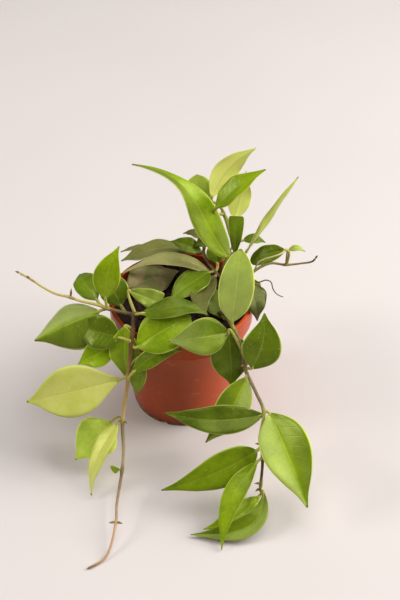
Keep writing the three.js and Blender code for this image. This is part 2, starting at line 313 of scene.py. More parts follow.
def tableFinish():
    board = Board("tabletop")
    soft = board.noise(board.place(), studio["blotchScale"], 2)
    share = soft.step(0.3, 0.7) * studio["blotchShare"]
    tint = board.mix(share, colour(studio["table"]), colour(studio["blotch"]))
    rough, gloss = studio["roughness"], studio["gloss"]
    return board.feed(Base_Color=tint, Roughness=rough, Specular_IOR_Level=gloss)


def addStudio():
    letGo()
    bpy.ops.mesh.primitive_plane_add(size=studio["tableWide"], location=(0, 0, 0))
    table = bpy.context.object
    table.name = "tabletop"
    paint(table, tableFinish())
    for number, (spot, size, power, tint) in enumerate(studio["lamps"]):
        bpy.ops.object.light_add(type="AREA", location=spot)
        light = bpy.context.object
        light.name = f"softbox_{number}"
        light.data.shape = "SQUARE"
        light.data.size = size
        light.data.energy = power
        light.data.color = colour(tint)[:3]
        light.rotation_euler = (vec(studio["aim"]) - vec(spot)).to_track_quat("-Z", "Y").to_euler()
    world = bpy.data.worlds.new("softRoom")
    world.use_nodes = True
    sky = world.node_tree.nodes["Background"]
    sky.inputs["Color"].default_value = colour(studio["skyColour"])
    sky.inputs["Strength"].default_value = studio["sky"]
    bpy.context.scene.world = world
    bpy.context.scene.view_settings.view_transform = "Standard"
    print("table and softboxes in place")


# leaves

blade = {
    "columns": 16, "rows": 40,
    "thick": 1.15, "margin": 0.55, "base": 2.1,  # at the midrib, the edge and the stalk
    "fullWide": 22,  # slimmer leaves are thinner and flatter
    "cup": 1.4,
    "groove": 0.45, "grooveWide": 1.0,
    "keel": 0.6, "keelWide": 1.1,
    "veins": 9, "veinSlant": 0.16, "veinLift": 0.03,
    "wave": 0.8, "waves": 2.3, "waveShift": 0.31, "ripple": 0.8, "roll": 0.05,
    "turnSpan": (0.35, 0.85),  # the stretch over which an outer half is turned
    "tones": (0.96, 1.04),  # no two leaves quite match
    # tints for painted sheen and painted shade, blended in by split and ends
    "paintedSheen": "#ccd18a", "paintedShade": "#5a5a2c",
}

outlines = {
    # half width from the base (0) to the tip (1), as a share of the greatest
    "pointed": [(0, 0.09), (0.07, 0.42), (0.2, 0.82), (0.36, 1), (0.53, 0.93), (0.71, 0.62),
                (0.87, 0.24), (1, 0.03)],
    "oval": [(0, 0.09), (0.07, 0.42), (0.2, 0.8), (0.38, 0.98), (0.56, 0.99), (0.75, 0.82),
             (0.91, 0.46), (1, 0.06)],
    "lance": [(0, 0.09), (0.1, 0.4), (0.25, 0.78), (0.42, 1), (0.6, 0.9), (0.76, 0.58),
              (0.9, 0.26), (1, 0.03)],
    "cut": [(0, 0.09), (0.12, 0.34), (0.3, 0.6), (0.5, 0.8), (0.7, 0.94), (0.86, 1),
            (0.97, 0.96), (1, 0.8)],
}

looks = {
    # upper face, its darker mottling, underside, margin
    "lime": ("#dee07a", "#cbd158", "#ebf47c", "#d3d774"),
    "light": ("#abbe4a", "#88a030", "#b8c46c", "#d6d870"),
    "bright": ("#9db812", "#6e8a06", "#a8b85a", "#d2da5c"),
    "fresh": ("#8faa14", "#628008", "#9eb052", "#ccd45c"),
    "mid": ("#7d9716", "#546e0a", "#8e9e4a", "#c6ce5e"),
    "deep": ("#637814", "#42530a", "#7e8c44", "#bcc65a"),
    "olive": ("#a09c62", "#7c7e44", "#a8a472", "#d6b894"),
    "moss": ("#76763e", "#5a602e", "#82804e", "#a89a64"),
    "bronze": ("#62622e", "#484c22", "#6e6c3e", "#98905a"),
    "tan": ("#887c54", "#667034", "#92865e", "#b2a078"),
    "husk": ("#8a6a3e", "#6f5230", "#8a6a3e", "#6f5230"),
}

usual = {
    # arch and bend bow the midrib up and sideways, late moves the bow towards the tip,
    # fold raises the halves, belly moves the widest part, knee rounds the stalk,
    # tipTurn turns the outer half, flecks adds silver, tone makes the look lighter or darker,
    # split paints a sheen on the right half and shade on the left, and ends does the same to the base
    # and tip
    "shape": "pointed", "arch": 4, "bend": 0, "late": 1, "fold": 8, "belly": 1, "knee": 0.6,
    "tipTurn": 0, "flecks": 0.15, "wave": 1, "tone": 1, "split": 0, "ends": (0, 0), "stalk": None,
}


def leafAt(start, root, tip, wide, face, look, **more):
    # start lies on the stem, root and tip end the blade, face is the way its upper side looks
    spots = {"start": vec(start), "root": vec(root), "tip": vec(tip), "face": vec(face)}
    return {**usual, **spots, "wide": wide, "look": look, **more}


def outlineHalf(outline, share):
    # smooth curve through the outline's points
    last = len(outline) - 1
    at = next((i for i in range(last) if share <= outline[i + 1][0]), last - 1)
    (s0, h0), (s1, h1) = outline[at], outline[at + 1]
    before = outline[max(0, at - 1)]
    after = outline[min(last, at + 2)]
    run = s1 - s0
    slopeIn = (h1 - before[1]) / (s1 - before[0])
    slopeOut = (after[1] - h0) / (after[0] - s0)
    return hermite(h0, run * slopeIn, h1, run * slopeOut, (share - s0) / run)


def midribAt(leaf, share):
    chord = leaf["tip"] - leaf["root"]
    along = chord.normalized()
    up = (leaf["face"] - along * leaf["face"].dot(along)).normalized()
    side = along.cross(up)
    late = leaf["late"]
    bow = math.sin(math.pi * share ** late)
    slope = math.pi * late * max(share, 0.001) ** (late - 1) * math.cos(math.pi * share ** late)
    point = leaf["root"] + chord * share + up * leaf["arch"] * bow + side * leaf["bend"] * bow
    tangent = (chord + up * leaf["arch"] * slope + side * leaf["bend"] * slope).normalized()
    up = (up - tangent * up.dot(tangent)).normalized()
    turn = math.radians(leaf["tipTurn"]) * easeBetween(*blade["turnSpan"], share)
    up.rotate(Quaternion(tangent, turn))
    return point, tangent, tangent.cross(up), up


def makeBladeBlank():
    # a flat blade, -1 to 1 all three ways, that every leaf is a bent copy of
    blank = addGrid(blade["columns"], blade["rows"])
    blank.data.materials.append(leafFinish())
    blank.data.materials.append(underFinish())
    addModifier(blank, "SOLIDIFY", thickness=2.0, offset=0.0, material_offset=1)
    for name in ("leafTop", "leafShade", "leafUnder", "leafRim", "leafTraits"):
        blank.data.color_attributes.new(name, "FLOAT_COLOR", "POINT")
    return blank


def bladePoint(leaf, across, along, level, rows, traits):
    if along not in rows:
        half = outlineHalf(outlines[leaf["shape"]], along) * leaf["wide"] / 2
        rows[along] = (midribAt(leaf, along ** leaf["belly"]), half)
    (point, tangent, side, up), half = rows[along]
    reach = abs(across)
    fromRib = reach * half
    fold = math.radians(leaf["fold"])
    size = min(1.0, leaf["wide"] / blade["fullWide"])
    lift = half * math.sin(fold) * reach ** blade["cup"]
    lift -= blade["groove"] * size * math.exp(-(fromRib / blade["grooveWide"]) ** 2) * (1 - along)
    # side veins stand up a little, short of the rib, the edge and both ends
    veinShare = blade["veins"] * (along - blade["veinSlant"] * reach) + traits["phase"]
    vein = math.cos(2 * math.pi * veinShare)
    vein *= easeBetween(0.03, 0.3, reach) * easeBetween(1, 0.75, reach)
    vein *= easeBetween(0, 0.12, along) * easeBetween(1, 0.8, along)
    lift += blade["veinLift"] * size * vein
    # the edge waves and rolls down, and the blade isn't quite even
    shift = blade["waveShift"] if across > 0 else 0
    wavy = math.sin(2 * math.pi * (along * blade["waves"] + traits["phase"] + shift))
    lift += blade["wave"] * leaf["wave"] * size * wavy * reach ** 2.5 * math.sin(math.pi * along)
    uneven = noise.noise(vec((across * 1.2, along * 2.4, traits["seed"])))
    lift += blade["ripple"] * size * uneven * reach
    lift -= blade["roll"] * half * easeBetween(0.75, 1.0, reach) ** 2
    start = easeBetween(0.0, 0.09, along)
    thick = blade["base"] * size + (blade["thick"] - blade["base"] * size) * start
    edge = thick + (blade["margin"] - thick) * start * reach ** 2.2
    if level < 0:
        edge += blade["keel"] * size * math.exp(-(fromRib / blade["keelWide"]) ** 2) * (1 - along)
    return (point + side * across * half * math.cos(fold) + up * (lift + level * edge / 2)) * mm


# painted sheen above 0 and painted shade below 0, by side of the midrib and along the blade
def sheenShadeAt(leaf, x, y):
    along = (y + 1) / 2
    side = max(-1, min(1, x * 5))  # turns over within a fifth of the half width
    return side * leaf["split"] + (1 - along) * leaf["ends"][0] + along * leaf["ends"][1]


def sheenShadeTint(tint, sheenShade):
    # above 0 a painted sheen pales the colour, below 0 painted shade dulls it
    return blendColour(tint, colour(blade["paintedSheen"] if sheenShade > 0 else blade["paintedShade"]), abs(sheenShade))


def makeBlade(blank, leaf, seed):
    piece = copyOf(blank)
    draw = random.Random(seed)
    traits = {"phase": draw.random(), "seed": draw.uniform(0, 90)}
    mesh = piece.data
    flat = [tuple(vert.co) for vert in mesh.vertices]
    rows, spots = {}, []
    for x, y, z in flat:
        spots.extend(bladePoint(leaf, x, round((y + 1) / 2, 5), z, rows, traits))
    mesh.vertices.foreach_set("co", spots)
    tone = leaf["tone"] * draw.uniform(*blade["tones"])
    tints = [colour(text) for text in looks[leaf["look"]]]
    top, shade, under, rim = ((*(c * tone for c in tint[:3]), 1.0) for tint in tints)
    # painted sheen and painted shade are blended into the top and mottling colours
    sheenShades = [sheenShadeAt(leaf, x, y) for x, y, _ in flat]
    layers = {
        "leafTop": [value for sheenShade in sheenShades for value in sheenShadeTint(top, sheenShade)],
        "leafShade": [value for sheenShade in sheenShades for value in sheenShadeTint(shade, sheenShade)],
        "leafUnder": under * len(flat),
        "leafRim": rim * len(flat),
        "leafTraits": (leaf["flecks"], float(leaf["look"] == "tan"), draw.random(), 1.0) * len(flat),
    }
    for name, values in layers.items():
        mesh.color_attributes[name].data.foreach_set("color", values)
    return piece


leafSkin = {
    # how fine the noises are, then tints and shares
    "broad": 55, "fine": 420,
    "tanPatch": "#9a7c62", "tan": 90,
    "silver": "#dfe6b4", "splash": 210, "speck": 640,
    "ribWide": 0.055, "ribPale": 0.24, "veinPale": 0.12, "edgeShade": 0.3, "marginPale": 0.8,
    "dryTip": "#5a4630",
    "roughness": 0.26, "gloss": 0.5, "sheen": (0.85, 1, 0.3, 1),
    "bump": 0.35, "grain": 0.0006,
}

underSkin = {
    "broad": 70, "fine": 520,
    "ribWide": 0.08, "ribPale": 0.7, "veinShade": 0.25, "marginPale": 0.6,
    "roughness": 0.5, "gloss": 0.35, "sheen": (0.85, 1, 0.4, 1),
    "bump": 0.3, "grain": 0.0005,
}


def bladeGrid(board):
    # the blade's uv: how far out from the midrib, and how far along
    across, along, _ = board.split(board.uv())
    return ((across - 0.5) * 2).abs(), along


def sideVeins(reach, along, sway, wide):
    veinWave = ((along - reach * blade["veinSlant"]) * blade["veins"] + sway).fract()
    vein = 1 - ((veinWave - 0.5).abs() * 2).step(0, wide)
    return vein * reach.step(0.02, 0.2) * (1 - reach.step(0.75, 0.98))


def leafFinish():
    board = Board("hoyaLeaf")
    skin = leafSkin
    reach, along = bladeGrid(board)
    where = board.place()
    flecks, tan, luck = board.split(board.attribute("leafTraits"))
    shade, rim = board.attribute("leafShade"), board.attribute("leafRim")
    broad = board.noise(where, skin["broad"], 2)
    fine = board.noise(where, skin["fine"])
    mottle = (broad.step(0.35, 0.68) * 0.6 + fine.step(0.4, 0.7) * 0.25).clamped()
    top = board.mix(mottle, board.attribute("leafTop"), shade)
    patch = board.noise(where, skin["tan"], 4).step(0.42, 0.62)
    top = board.mix(patch * tan * 0.8, top, colour(skin["tanPatch"]))
    # pale midrib and faint side veins
    rib = 1 - (reach / (skin["ribWide"] * (1.15 - along))).step(0.3, 1.2)
    vein = sideVeins(reach, along, broad * 0.3 + luck, 0.16)
    top = board.mix(vein * broad * skin["veinPale"], top, rim)
    top = board.mix(rib * skin["ribPale"], top, rim)
    # silver splashes and specks
    splash = board.noise(board.stretch(where, (1, 1, 1.3)), skin["splash"], 2)
    splash = splash.step(0.69, 0.76)
    speck = board.noise(where, skin["speck"], 1).step(0.7, 0.76)
    silver = ((splash * 0.7 + speck * 0.5) * flecks).clamped()
    top = board.mix(silver, top, colour(skin["silver"]))
    # painted shade darkens the blade towards the edge, with a pale margin and a dry tip
    top = board.mix(reach.step(0.35, 0.9) * skin["edgeShade"], top, shade)
    top = board.mix(reach.step(0.92, 0.985) * skin["marginPale"], top, rim)
    top = board.mix(along.step(0.965, 0.995) * 0.8, top, colour(skin["dryTip"]))
    height = mottle * 0.25 + vein * -0.25 + fine * 0.15 - rib * 0.6
    roughness = skin["roughness"] + broad * 0.1 + silver * 0.2
    return board.cover(skin, top, roughness.clamped(), height)


def underFinish():
    board = Board("hoyaLeafBack")
    skin = underSkin
    reach, along = bladeGrid(board)
    where = board.place()
    base, rim = board.attribute("leafUnder"), board.attribute("leafRim")
    broad = board.noise(where, skin["broad"])
    fine = board.noise(where, skin["fine"])
    shade = board.mix(0.45, base, board.attribute("leafTop"))
    face = board.mix(broad.step(0.3, 0.7), base, shade)
    rib = 1 - (reach / (skin["ribWide"] * (1.1 - along))).step(0.4, 1.2)
    vein = sideVeins(reach, along, broad * 0.3, 0.22)
    face = board.mix(vein * skin["veinShade"], face, shade)
    pale = rib * skin["ribPale"] + reach.step(0.94, 0.99) * skin["marginPale"]
    face = board.mix(pale.clamped(), face, rim)
    return board.cover(skin, face, skin["roughness"] + fine * 0.12, fine * 0.3 + vein * 0.5)


# stems and stalks

stem = {
    "sides": 12, "ring": 2.2,  # from one ring to the next
    "swell": 0.32, "swellLong": 2.6,  # how much a joint thickens, and how far along
    "uneven": 0.05, "knobble": 0.02,
    "rootDepth": 12, "tipThin": 0.35, "tipShort": 0.4,
    "jointTint": "#a9a25a", "jointShare": 0.35, "jointLong": 2.0,
    "seam": 1e-6,  # metres
}

stalk = {
    "sides": 10, "rings": 12, "radius": 1.25,
    "slimLeaf": 12,  # narrower leaves have a thinner stalk
    "waist": (0.9, 0.28),  # thickness at the middle, and what both ends add
    "sunk": 0.2, "sunkThin": 0.4, "runIn": 0.05,
    "tint": "#b4ae58", "footTint": "#8f7d50",
}

barks = {
    # share of the stem's length, colour
    "oldTrail": [
        (0, "#33261d"), (0.2, "#503822"), (0.28, "#755330"), (0.38, "#aa8850"), (0.5, "#ceb472"),
        (0.52, "#8c7a54"), (0.63, "#bba982"), (0.65, "#7a6848"), (0.81, "#b09a78"), (0.84, "#d3b18c"),
        (0.95, "#c79c74"), (1, "#76543a")],
    "whip": [
        (0, "#54402f"), (0.2, "#8a7648"), (0.26, "#d4c468"), (0.48, "#dccf80"), (0.52, "#b89468"),
        (0.56, "#dccf80"), (0.84, "#dacd82"), (0.87, "#b48e66"), (0.9, "#dccf8a"), (1, "#d0bd7c")],
    "rightTrail": [
        (0, "#33261d"), (0.2, "#655538"), (0.27, "#8f9346"), (0.33, "#877a4c"), (0.45, "#75643f"),
        (0.5, "#8f7f63"), (0.62, "#8a7a5c"), (0.66, "#a6aa48"), (0.78, "#969c48"), (0.82, "#574728"),
        (0.92, "#3d331d"), (0.95, "#6a5a30"), (1, "#a4ab4c")],
    "shoot": [(0, "#46382a"), (0.5, "#75703f"), (1, "#a0aa4c")],
    "rusty": [(0, "#3b2a22"), (0.5, "#684a3a"), (0.9, "#6d543c"), (1, "#b5b060")],
    "rightShoot": [
        (0, "#54463a"), (0.3, "#9a9a5a"), (0.5, "#b0ad68"), (0.7, "#a09260"), (0.9, "#9a8658"),
        (0.95, "#6b5440"), (1, "#46342a")],
    "root": [(0, "#6e5f50"), (1, "#5f554c")],
    "young": [(0, "#46382a"), (0.3, "#75663f"), (1, "#969c48")],
    "tendril": [(0, "#d6cf93"), (1, "#b9ae72")],
}


def barkAt(name, share):
    stops = barks[name]
    for (s0, c0), (s1, c1) in zip(stops, stops[1:]):
        if share <= s1:
            return blendColour(colour(c0), colour(c1), (share - s0) / (s1 - s0))
    return colour(stops[-1][1])


def curveThrough(points, spacing, steps=24):
    # centripetal curve through the points, cut into even lengths
    ends = [2 * points[0] - points[1], *points, 2 * points[-1] - points[-2]]
    dense = []
    for p0, p1, p2, p3 in zip(ends, ends[1:], ends[2:], ends[3:]):
        d0, d1, d2 = (max(1e-4, (b - a).length) ** 0.5 for a, b in ((p0, p1), (p1, p2), (p2, p3)))
        slopeIn = ((p1 - p0) / d0 - (p2 - p0) / (d0 + d1) + (p2 - p1) / d1) * d1
        slopeOut = ((p2 - p1) / d1 - (p3 - p1) / (d1 + d2) + (p3 - p2) / d2) * d1
        dense.extend(hermite(p1, slopeIn, p2, slopeOut, step / steps) for step in range(steps))
    dense.append(points[-1].copy())
    runs = [0.0]
    for a, b in zip(dense, dense[1:]):
        runs.append(runs[-1] + (b - a).length)
    count = max(3, round(runs[-1] / spacing))
    cut, at = [], 0
    for step in range(count + 1):
        goal = runs[-1] * step / count
        while at < len(runs) - 2 and runs[at + 1] < goal:
            at += 1
        share = (goal - runs[at]) / max(1e-9, runs[at + 1] - runs[at])
        cut.append(dense[at].lerp(dense[at + 1], share))
    return cut, runs[-1]


def makeTube(points, radii, sides, tints, length):
    # a grid rolled up round the points; its seam and ends are closed once all are joined
    last = len(points) - 1
    piece = addGrid(sides, last)
    mesh = piece.data
    frames = []
    normal = (points[1] - points[0]).normalized().orthogonal().normalized()
    for i in range(last + 1):
        tangent = (points[min(last, i + 1)] - points[max(0, i - 1)]).normalized()
        normal = (normal - tangent * normal.dot(tangent)).normalized()
        frames.append((normal.copy(), tangent.cross(normal)))
    mesh.color_attributes.new("barkTint", "FLOAT_COLOR", "POINT")
    spots, shades = [], []
    for vert in mesh.vertices:
        ring = round((vert.co.y + 1) / 2 * last)
        turn = math.pi * vert.co.x
        first, second = frames[ring]
        spot = points[ring] + (first * math.cos(turn) + second * math.sin(turn)) * radii[ring]
        spots.extend(spot * mm)
        shades.extend(tints[ring])
    mesh.vertices.foreach_set("co", spots)
    mesh.color_attributes["barkTint"].data.foreach_set("color", shades)
    for loop in mesh.uv_layers.active.data:
        loop.uv.y *= length / 10  # centimetres along the stem
    return piece


def makeStem(line, rooted, joints, seed):
    draw = random.Random(seed)
    points = [vec(point) for point in line["route"]]
    if rooted:
        x, y, _ = line["route"][0]
        points.insert(0, vec((x, y, mixSet["top"] - stem["rootDepth"])))
    path, length = curveThrough(points, stem["ring"])
    thick, thin = line["radius"]
    radii, tints = [], []
    for i, point in enumerate(path):
        share = i / (len(path) - 1)
        near = min(((point - joint).length for joint in joints), default=99)
        radius = thick + (thin - thick) * share
        radius *= 1 + stem["swell"] * math.exp(-(near / stem["swellLong"]) ** 2)
        uneven = stem["uneven"] * noise.noise(vec((share * length / 6, seed, 0)))
        radii.append(radius * (1 + uneven + draw.uniform(-stem["knobble"], stem["knobble"])))
        joint = stem["jointShare"] * math.exp(-(near / stem["jointLong"]) ** 2) * share
        tints.append(blendColour(barkAt(line["bark"], share), colour(stem["jointTint"]), joint))
    radii[-1] *= stem["tipThin"]
    path[-1] = path[-1].lerp(path[-2], stem["tipShort"])
    return makeTube(path, radii, stem["sides"], tints, length)


def makeStalk(leaf):
    point, tangent, _, up = midribAt(leaf, 0)
    start = leaf["start"]
    knee = point - tangent * leaf["knee"] * (start - point).length
    inner = midribAt(leaf, stalk["runIn"] ** leaf["belly"])[0]
    path = [inner - up * stalk["sunk"]]
    for step in range(stalk["rings"] + 1):
        t = step / stalk["rings"]
        path.append(point * (1 - t) ** 2 + knee * 2 * t * (1 - t) + start * t * t)
    thin = min(1.0, leaf["wide"] / stalk["slimLeaf"])
    waist, flare = stalk["waist"]
    rim = colour(looks[leaf["look"]][3])
    tint = colour(leaf["stalk"]) if leaf["stalk"] else blendColour(rim, colour(stalk["tint"]), 0.5)
    radii, tints = [], []
    for i in range(len(path)):
        share = i / (len(path) - 1)
        radii.append(stalk["radius"] * thin * (waist + flare * (2 * share - 1) ** 2))
        tints.append(blendColour(tint, colour(stalk["footTint"]), 0.5 * share ** 3))
    radii[0] *= stalk["sunkThin"]
    length = sum((b - a).length for a, b in zip(path, path[1:]))
    return makeTube(path, radii, stalk["sides"], tints, length)


barkSkin = {
    "stretch": (9, 1.4, 1), "long": 4, "cork": 900, "broad": 120,
    "streak": "#9c8264", "patch": "#b9ab74", "dots": "#cdbf98",
    "roughness": 0.48, "gloss": 0.3, "sheen": (1, 0.85, 0.6, 1),
    "bump": 0.5, "grain": 0.0004,
}


def barkFinish():
    # streaks run along the stem, by its uv
    board = Board("hoyaStem")
    skin = barkSkin
    where = board.place()
    streak = board.noise(board.stretch(board.uv(), skin["stretch"]), skin["long"], 4)
    cork = board.noise(where, skin["cork"])
    broad = board.noise(where, skin["broad"], 2)
    base = board.attribute("barkTint")
    dark = board.mix(1, base, colour(skin["streak"]), "MULTIPLY")
    face = board.mix(streak.step(0.45, 0.62) * 0.55, base, dark)
    face = board.mix(broad.step(0.5, 0.75) * 0.3, face, colour(skin["patch"]))
    dots = cork.step(0.66, 0.72)
    face = board.mix(dots * 0.35, face, colour(skin["dots"]))
    height = streak * 0.8 + cork * 0.4 + dots * 0.5
    return board.cover(skin, face, skin["roughness"] + streak * 0.2, height)


# pot

potSet = {
    "rim": 60, "high": 110, "foot": 42,
    "collar": 19, "step": 1.6,  # height of the collar, and how far it stands proud
    "wall": 1.8, "floor": 2.4, "lip": 1.0,
    "spin": 120,
    "notches": 8, "notchWide": 7, "notchHigh": 3, "notchDeep": 6, "notchRound": 1.2,
    "smoothAngle": 32,
}


def wallAt(height):
    foot, high = potSet["foot"], potSet["high"]
    return foot + (potSet["rim"] - potSet["step"] - foot) * height / high


def insideAt(height):
    return wallAt(height) - potSet["wall"]


def potProfile():
    rim, high, lip, foot, floor = (potSet[key] for key in ("rim", "high", "lip", "foot", "floor"))
    collar = high - potSet["collar"]
    inner = insideAt(high)
    # underside, foot ring and outer wall
    points = [(0, 0.9), (foot - 5, 0.9), (foot - 3.6, 0.0), (foot - 1.6, 0.0)]
    points += [(foot - 0.5, 0.35), (foot, 1.5), (wallAt(12), 12), (wallAt(50), 50)]
    # step of the collar, then the rounded lip
    points += [(wallAt(collar) - 0.05, collar - 1.2), (wallAt(collar) + 0.25, collar - 0.3)]
    points += [(rim - 1.5, collar + 0.1), (rim - 0.9, collar + 0.9)]
    points += [(rim - 0.35, high - 6), (rim, high - 2.4)]
    for middle, turns in ((rim - lip, (0, 30, 60, 90)), (inner + lip, (90, 120, 150, 180))):
        for angle in map(math.radians, turns):
            points.append((middle + lip * math.cos(angle), high - lip + lip * math.sin(angle)))
    # inner wall and floor
    corner = insideAt(floor)
    return points + [(insideAt(60), 60), (corner - 1, floor + 1), (corner - 2.4, floor), (0, floor)]


potSkin = {
    "face": "#9f3b13", "dark": "#86290c", "flow": "#aa4c1c", "paintedLight": "#c2481b",
    # foot is the colour of the painted shade at the foot
    "dust": "#7d4a38", "splash": "#d39a82", "foot": "#32120a",
    "broad": 14, "fine": 260, "grit": 1400, "splashScale": 75,
    "flowStretch": (60, 60, 7), "scratchStretch": (30, 30, 900),
    "roughness": 0.3, "gloss": 0.4, "sheen": (1, 0.7, 0.3, 1),
    "bump": 0.12, "grain": 0.0006,
}


def potFinish():
    board = Board("terracottaPlastic")
    skin = potSkin
    where = board.place()
    across, _, height = board.split(where, "XYZ")
    broad = board.noise(where, skin["broad"])
    fine = board.noise(where, skin["fine"], 4)
    grit = board.noise(where, skin["grit"], 2)
    flow = board.noise(board.stretch(where, skin["flowStretch"]), 1, 4)  # drawn out upwards
    face = board.mix(broad.step(0.35, 0.65) * 0.5, colour(skin["face"]), colour(skin["dark"]))
    face = board.mix(flow.step(0.5, 0.7) * 0.25, face, colour(skin["flow"]))
    # painted light: the right side of the pot, towards the right lamp, is lighter and more orange
    face = board.mix(across.step(-0.004, 0.03) * 0.9, face, colour(skin["paintedLight"]))
    # dust, most of it near the foot, dried splashes, and painted shade at the foot
    dust = (height.step(0, 0.03, (1, 0)) * 0.5 + 0.12) * fine.step(0.45, 0.7)
    face = board.mix(dust * 0.45, face, colour(skin["dust"]))
    splash = board.noise(where, skin["splashScale"], 5).step(0.63, 0.68)
    face = board.mix(splash * 0.14, face, colour(skin["splash"]))
    # painted shade: the foot darkens towards the table
    face = board.mix(height.step(0, 0.016, (0.6, 0)), face, colour(skin["foot"]))
    scratch = board.noise(board.stretch(where, skin["scratchStretch"]), 1).step(0.62, 0.7)
    roughness = (skin["roughness"] + fine * 0.12 + dust * 0.3 + scratch * 0.08).clamped()
    bumps = grit * 0.25 + fine * 0.25 + scratch * -0.12 + flow * 0.2
    return board.cover(skin, face, roughness, bumps)


def makeNotch(turn):
    cutter = addCube()
    size = (potSet["notchDeep"], potSet["notchWide"], potSet["notchHigh"] * 2)
    cutter.data.transform(Matrix.Diagonal((*size, 1)))
    addModifier(cutter, "BEVEL", width=potSet["notchRound"], segments=3)
    shift = Matrix.Translation((potSet["foot"], 0, 0))
    cutter.data.transform(Matrix.Rotation(turn, 4, "Z") @ shift)
    cutter.data.transform(Matrix.Scale(mm, 4))
    return cutter


def makePot():
    # a single point is drawn along the profile and spun
    letGo()
    bpy.ops.mesh.primitive_plane_add(size=0.001)
    pot = bpy.context.object
    openMesh(pot)
    bpy.ops.mesh.merge(type="CENTER")
    profile = potProfile()
    bpy.ops.transform.translate(value=(profile[0][0] * mm, 0, profile[0][1] * mm))
    for (x0, z0), (x1, z1) in zip(profile, profile[1:]):
        shift = ((x1 - x0) * mm, 0, (z1 - z0) * mm)
        bpy.ops.mesh.extrude_region_move(TRANSFORM_OT_translate={"value": shift})
    pickAll()
    bpy.ops.mesh.spin(steps=potSet["spin"], angle=2 * math.pi, center=(0, 0, 0), axis=(0, 0, 1))
    pickAll()
    bpy.ops.mesh.remove_doubles(threshold=2e-5)
    faceOut()
    turns = [(number + 0.5) * 2 * math.pi / potSet["notches"] for number in range(potSet["notches"])]
    cutter = joinAll([makeNotch(turn) for turn in turns], "notchCutter")
    addModifier(pot, "BOOLEAN", operation="DIFFERENCE", object=cutter, solver="EXACT")
    dropPiece(cutter)
    rename(pot, "pot_shell")
    smooth(pot, potSet["smoothAngle"])
    paint(pot, potFinish())
    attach(pot, "root")
    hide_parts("pot")
    print("pot spun,", len(pot.data.polygons), "faces")


# potting mix

mixSet = {
    "top": 101, "mound": 2.5, "wallGap": 0.3, "cells": 110, "deep": 40, "lowGap": 0.6,
    "lump": 1.3, "lumpWide": 9, "grit": 0.5, "gritWide": 2.6,
    "crumbGap": 1.5, "crumbAngle": 40, "stemGap": 3.4, "seed": 7,
    "broad": 160, "fine": 900,
    "roughness": 0.78, "gloss": 0.25, "sheen": (1, 1, 1, 1), "bump": 0.8, "grain": 0.0012,
}

crumbSet = {
    # how many, the smallest and largest, how squashed, how rough, and the tints
    "mix_chips": (430, (1.6, 4.4), 0.45, 0.3, ("#1b110c", "#3b251a", "#6a4632")),
    "mix_perlite": (26, (1.2, 2.2), 0.9, 0.2, ("#b8b0a4", "#d8d2c6", "#8f8678")),
}


def mixHeight(x, y):
    share = min(1.0, math.hypot(x, y) / insideAt(mixSet["top"]))
    coarse = noise.noise(vec((x / mixSet["lumpWide"], y / mixSet["lumpWide"], 2.0)))
    fine = noise.noise(vec((x / mixSet["gritWide"], y / mixSet["gritWide"], 5.0)))
    mound = mixSet["mound"] * (1 - share ** 2)
    return mixSet["top"] + mound + mixSet["lump"] * coarse + mixSet["grit"] * fine


def mixFinish(name, dark, light, dry):
    board = Board(name)
    where = board.place()
    broad = board.noise(where, mixSet["broad"], 4)
    fine = board.noise(where, mixSet["fine"], 5)
    face = board.mix(fine.step(0.35, 0.65), colour(dark), colour(light))
    face = board.mix(broad.step(0.55, 0.75) * 0.5, face, colour(dry))
    return board.cover(mixSet, face, mixSet["roughness"] + broad * 0.2, fine + broad * 0.6)


def makeMixBed():
    edge = insideAt(mixSet["top"]) - mixSet["wallGap"]
    bed = addGrid(mixSet["cells"], mixSet["cells"])
    for vert in bed.data.vertices:  # the square grid is drawn in to a disc
        x, y, _ = vert.co
        roundX = x * math.sqrt(1 - y * y / 2) * edge
        roundY = y * math.sqrt(1 - x * x / 2) * edge
        vert.co = vec((roundX, roundY, mixHeight(roundX, roundY))) * mm
    openMesh(bed)
    bpy.ops.mesh.extrude_region_move(TRANSFORM_OT_translate={"value": (0, 0, -mixSet["deep"] * mm)})
    low = mixSet["top"] - mixSet["deep"]
    shrink = (insideAt(low) - mixSet["lowGap"]) / edge
    bpy.ops.transform.resize(value=(shrink, shrink, 0), center_override=(0, 0, low * mm))
    pickAll()
    faceOut()
    rename(bed, "mix_bed")
    smooth(bed)
    paint(bed, mixFinish("barkMix", "#150d0a", "#2e1d15", "#4a2f22"))
    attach(bed, "root")
    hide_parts("potting_mix")


def makeCrumb(squash, rough):
    # one knocked-about block that is copied over the bed
    crumb = addCube()
    addModifier(crumb, "BEVEL", width=0.22, segments=1)
    for vert in crumb.data.vertices:
        push = noise.noise(vert.co * 2.3 + vec((rough * 9, 0, 0)))
        vert.co *= 1 + rough * push
        vert.co.z *= squash
    return crumb


